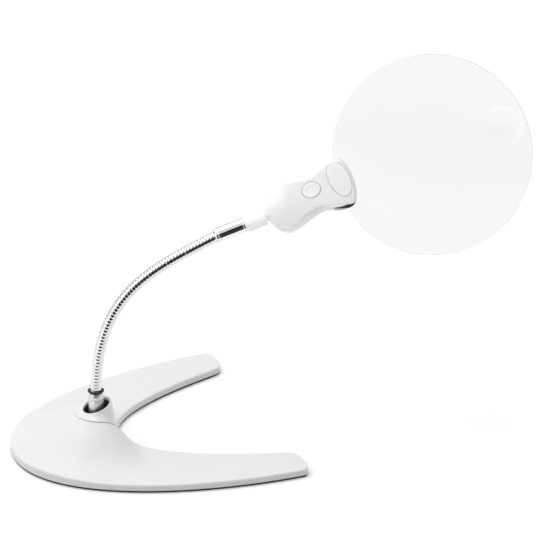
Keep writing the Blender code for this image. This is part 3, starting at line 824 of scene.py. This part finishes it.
rear_rings = []
for i in range(TURNS + 1):
    q = i / TURNS
    drop = 1 - sin(q * pi / 2)
    depth = cos(q * pi / 2)
    rear_rings.append(
        outline(9.0 * drop, 2.6 * drop, 3.4 * drop, 3.4 * drop, -4.0 + (BACK_N + 4.0) * depth**0.9)
    )
# the shelf under the front shell, and the fillet that runs up under its edge
rear_rings.append(outline(low_in=lambda u: ledge(u) * 0.03, n=-0.1))
for inset, share, n in ((0.4, 0.08, 1.4), (0.7, 0.3, 1.9), (1.0, 0.78, 2.2), (1.4, 0.95, 2.7), (1.7, 1.0, 3.4)):
    rear_rings.append(
        outline(inset, inset, inset, lambda u, a=inset, b=share: ledge(u) * b + a * 0.7, n)
    )
rear = piece("head_rear_skin", loft(rear_rings), MAT["rear"], head_frame, 40)
DOOR_U, DOOR_V = (-103.0, -68.0), (-5.8, 10.2)


def round_rect(low, high, corner, n, steps=8):
    points = []
    for cx, cy, start in (
        (high[0] - corner, high[1] - corner, 0.0),
        (low[0] + corner, high[1] - corner, pi / 2),
        (low[0] + corner, low[1] + corner, pi),
        (high[0] - corner, low[1] + corner, 1.5 * pi),
    ):
        for i in range(steps + 1):
            a = start + pi / 2 * i / steps
            points.append((cx + corner * cos(a), cy + corner * sin(a), n))
    return points


step_box = block((-71.5, -40.0, -3.2), (-40.0, 40.0, 8.0))
door_low, door_high = (DOOR_U[0] + 0.1, DOOR_V[0] + 0.1), (DOOR_U[1] - 0.1, DOOR_V[1] - 0.1)
rear_cutters = [
    piece("cut_d", step_box, None, head_frame),
    piece("cut_e", loft([round_rect(door_low, door_high, 2.2, BACK_N + 2.6), round_rect(door_low, door_high, 2.2, BACK_N - 3.0)]), None, head_frame),
]
for k, v in enumerate((-5.4, 9.4)):
    rear_cutters.append(piece(f"cut_s{k}", turned(((2.6, BACK_N - 2.0), (2.6, BACK_N + 1.5)), 48, (-59.2, v)), None, head_frame))
for k, v in enumerate((-0.7, 4.7)):
    rear_cutters.append(piece(f"cut_l{k}", turned(((2.3, BACK_N - 2.0), (1.8, BACK_N + 2.2)), 48, (-59.0, v)), None, head_frame))
boolean(rear, rear_cutters, sharp=40)
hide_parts("head_rear_shell")
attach(rear, "head")

# battery door: rounded plate with grip ribs
dl, dh = (DOOR_U[0] + 0.4, DOOR_V[0] + 0.4), (DOOR_U[1] - 0.4, DOOR_V[1] - 0.4)
door_levels = ((0.0, BACK_N + 1.6), (0.0, BACK_N + 0.3), (0.12, BACK_N + 0.08), (0.4, BACK_N))
door_rings = [
    round_rect((dl[0] + s, dl[1] + s), (dh[0] - s, dh[1] - s), 2.0 - s * 0.8, n) for s, n in door_levels
]
door = piece("battery_door_skin", loft(door_rings), MAT["rear"], head_frame, 40)
ribs = []
for k in range(5):
    u = DOOR_U[0] + 5.0 + 1.7 * k
    ribs.append(
        piece(
            f"rib_{k}",
            loft(
                [
                    round_rect((u - 0.45, -2.4), (u + 0.45, 6.8), 0.44, BACK_N + 0.8, 4),
                    round_rect((u - 0.45, -2.4), (u + 0.45, 6.8), 0.44, BACK_N - 0.25, 4),
                    round_rect((u - 0.28, -2.2), (u + 0.28, 6.6), 0.27, BACK_N - 0.42, 4),
                ]
            ),
            None,
            head_frame,
        )
    )
boolean(door, ribs, "UNION", sharp=40)
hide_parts("battery_door")
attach(door, "door")

# switch button: oval cap with a soft rim and a shallow dish
button = piece(
    "power_button_skin",
    disc(
        BUTTON_AT,
        (BUTTON_R[0] - 0.35, BUTTON_R[1] - 0.35),
        (
            (0.0, 5.6),
            (0.0, FRONT_N - 0.25),
            (0.1, FRONT_N + 0.05),
            (0.35, FRONT_N + 0.28),
            (0.8, FRONT_N + 0.38),
            (1.6, FRONT_N + 0.33),
            (2.8, FRONT_N + 0.2),
            (4.4, FRONT_N + 0.1),
            (5.0, FRONT_N + 0.08),
        ),
        72,
    ),
    MAT["button"],
    head_frame,
    40,
)
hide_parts("power_button")
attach(button, "switch_button")

panel = piece(
    "cover_panel_skin",
    disc(
        PANEL_MID,
        (PANEL_R[0] - 0.38, PANEL_R[1] - 0.98),
        (
            (0.0, 7.7),
            (0.0, FRONT_N + 0.3),
            (0.15, FRONT_N + 0.5),
            (0.5, FRONT_N + 0.62),
            (1.2, FRONT_N + 0.72),
            (2.4, FRONT_N + 0.8),
            (4.4, FRONT_N + 0.88),
            (5.6, FRONT_N + 0.9),
        ),
        96,
        PANEL_TURN,
    ),
    MAT["panel"],
    head_frame,
    40,
)
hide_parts("cover_panel")
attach(panel, "head")

# gasket: black, standing a little out of the clamp's lower side
gasket_rings = []
for low, n in ((0.5, -2.95), (0.15, -2.6), (0.0, -2.0), (0.1, -1.2), (0.6, -0.5), (1.2, 0.1)):
    gasket_rings.append(
        outline(0.0, 0.1 + low, 0.6 + low, (lambda u, s=low: s + 0.05 + 1.8 * (1 - ease((u + 71.5) / 11.0))), n)
    )
gasket = piece("lens_gasket_skin", loft(gasket_rings), MAT["black"], head_frame, 40)
gasket_cutters = [
    piece("cut_g", block((-130.0, -40.0, -10.0), (-71.2, 40.0, 10.0)), None, head_frame),
    piece("cut_h", turned(((LENS_R + 0.4, -2.35), (LENS_R + 0.4, 5.0)), 256), None, head_frame),
]
boolean(gasket, gasket_cutters, sharp=40)
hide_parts("lens_gasket")
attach(gasket, "head")

# lens, both faces domed, with the small strong lens standing on its front
levels = 26
profile = [
    (
        LENS_R * sin(pi / 2 * i / levels),
        LENS_EDGE / 2 + LENS_DOME * cos(pi / 2 * i / levels) ** 2,
    )
    for i in range(1, levels + 1)
]
edge = [(LENS_R + 0.0, -LENS_EDGE / 2 + 0.25), (LENS_R + 0.0, LENS_EDGE / 2 - 0.25)]
profile = (
    [(r, -z) for r, z in profile[:-1]]
    + [(LENS_R - 0.22, -LENS_EDGE / 2)]
    + edge
    + [(LENS_R - 0.22, LENS_EDGE / 2)]
    + [(r, z) for r, z in reversed(profile[:-1])]
)
lens = piece("lens_skin", turned(profile, 256), MAT["lens"], head_frame, 30)
spot_profile = [(SPOT_R, 0.2), (SPOT_R, LENS_EDGE / 2 + 0.95)]
for i in range(11, 0, -1):
    a = pi / 2 * i / 12
    spot_profile.append((SPOT_R * sin(a), LENS_EDGE / 2 + 0.95 + SPOT_DOME * cos(a)))
spot = piece("spot", turned(spot_profile, 128, SPOT_AT), None, head_frame, 30)
boolean(lens, [spot], "UNION", sharp=20)
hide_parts("lens")
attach(lens, "head")

# ================================================================== materials of the CAD nodes that stay
for name, key in (
    ("ballast_plate", "steel"),
    ("base_screw_1", "steel"),
    ("base_screw_2", "steel"),
    ("base_screw_3", "steel"),
    ("collar_nut", "grey"),
    ("battery_1", "cell"),
    ("battery_2", "cell"),
    ("circuit_board", "board"),
    ("tact_switch", "black"),
    ("contact_plate", "brass"),
    ("head_screw_1", "steel"),
    ("head_screw_2", "steel"),
    ("led_1", "led"),
    ("led_2", "led"),
):
    data = NODES[name].data
    data.materials.clear()
    data.materials.append(MAT[key])

# ================================================================== stage, light and camera
floor_mat = Nodes("mat_floor")
floor_colour = floor_mat.ramp(floor_mat.noise(1.5, 2.0), ((0.3, (0.975, 0.975, 0.978)), (0.7, (0.985, 0.985, 0.988))))
floor_mat.set(Base_Color=floor_colour, Roughness=floor_mat.spread(floor_mat.noise(30.0), 0.6, 0.75))
bm = bmesh.new()
bmesh.ops.create_grid(bm, x_segments=4, y_segments=4, size=6000.0)
floor = piece("floor", bm, floor_mat.mat, None, None)
floor.location.z = -0.0002
floor.visible_diffuse = False
floor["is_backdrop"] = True

# a dark flag in front of the neck, out of sight, which gives the bright metal its dark stripe
bm = bmesh.new()
flag_high = 190.0
flag_right = Vector((0.92655, -0.37618, 0.0))
flag_front = Vector((-0.37618, -0.92655, 0.0))
rows_of = []
for i in range(13):
    x = -110.0 + 290.0 * i / 12
    flag_low = 20.0 + max(x + 20.0, 0.0) * 0.2
    foot = Vector((40.0, -10.0, 0.0)) + flag_right * x + flag_front * 150.0
    rows_of.append((bm.verts.new(foot + Vector((0, 0, flag_low))), bm.verts.new(foot + Vector((0, 0, flag_high)))))
for (a, b), (c, d) in zip(rows_of, rows_of[1:]):
    bm.faces.new((a, c, d, b))
flag = piece("flag", bm, MAT["black"], None, None)
flag.visible_camera = False
flag.visible_diffuse = False
flag.visible_shadow = False
flag.visible_transmission = False
flag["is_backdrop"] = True

CAM_AT = Vector((-0.4969, -1.5372, 0.8672))
CAM_FORWARD = Vector((0.34163, 0.84146, -0.41864)).normalized()
CAM_RIGHT = Vector((0.92655, -0.37618, 0.0)).normalized()
CAM_UP = CAM_RIGHT.cross(CAM_FORWARD).normalized()
camera_data = bpy.data.cameras.new("camera")
camera_data.lens = 180.0
camera_data.sensor_width = 36.0
camera_data.clip_end = 50.0
camera = bpy.data.objects.new("camera", camera_data)
bpy.context.scene.collection.objects.link(camera)
camera.matrix_world = Matrix.Translation(CAM_AT) @ Matrix(
    (
        (CAM_RIGHT.x, CAM_UP.x, -CAM_FORWARD.x, 0),
        (CAM_RIGHT.y, CAM_UP.y, -CAM_FORWARD.y, 0),
        (CAM_RIGHT.z, CAM_UP.z, -CAM_FORWARD.z, 0),
        (0, 0, 0, 1),
    )
)
bpy.context.scene.camera = camera

world = bpy.data.worlds.new("studio")
bpy.context.scene.world = world
world.use_nodes = True
wt = world.node_tree
background = wt.nodes["Background"]
coord = wt.nodes.new("ShaderNodeTexCoord")
dot = wt.nodes.new("ShaderNodeVectorMath")
dot.operation = "DOT_PRODUCT"
dark_at = Vector((-0.36, -0.86, 0.02)).normalized()
dot.inputs[1].default_value = dark_at
ramp = wt.nodes.new("ShaderNodeValToRGB")
ramp.color_ramp.elements[0].position = 0.835
ramp.color_ramp.elements[0].color = (1.0, 1.0, 1.0, 1.0)
ramp.color_ramp.elements[1].position = 0.875
ramp.color_ramp.elements[1].color = (0.02, 0.02, 0.022, 1.0)
wt.links.new(coord.outputs["Generated"], dot.inputs[0])
wt.links.new(dot.outputs["Value"], ramp.inputs["Fac"])
wt.links.new(ramp.outputs["Color"], background.inputs["Color"])
background.inputs["Strength"].default_value = 0.76


def area(name, at, towards, size, power):
    data = bpy.data.lights.new(name, "AREA")
    data.shape = "RECTANGLE"
    data.size, data.size_y = size
    data.energy = power
    light = bpy.data.objects.new(name, data)
    bpy.context.scene.collection.objects.link(light)
    light.location = at
    light.rotation_euler = (Vector(towards) - Vector(at)).to_track_quat("-Z", "Y").to_euler()
    return light


area("soft_top", (-0.3, 0.5, 2.2), (0.05, 0, 0), (1.8, 1.8), 22)
area("soft_left", (-1.8, -0.5, 1.1), (0, 0, 0.08), (1.4, 1.2), 10)
fill = area("head_fill", (-0.06, -0.45, 0.16), (0.13, 0.0, 0.225), (0.2, 0.2), 0.042)
fill.data.spread = radians(40.0)
fill.visible_glossy = False
fill.visible_camera = False

bpy.context.scene.view_settings.view_transform = "Standard"

low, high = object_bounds()
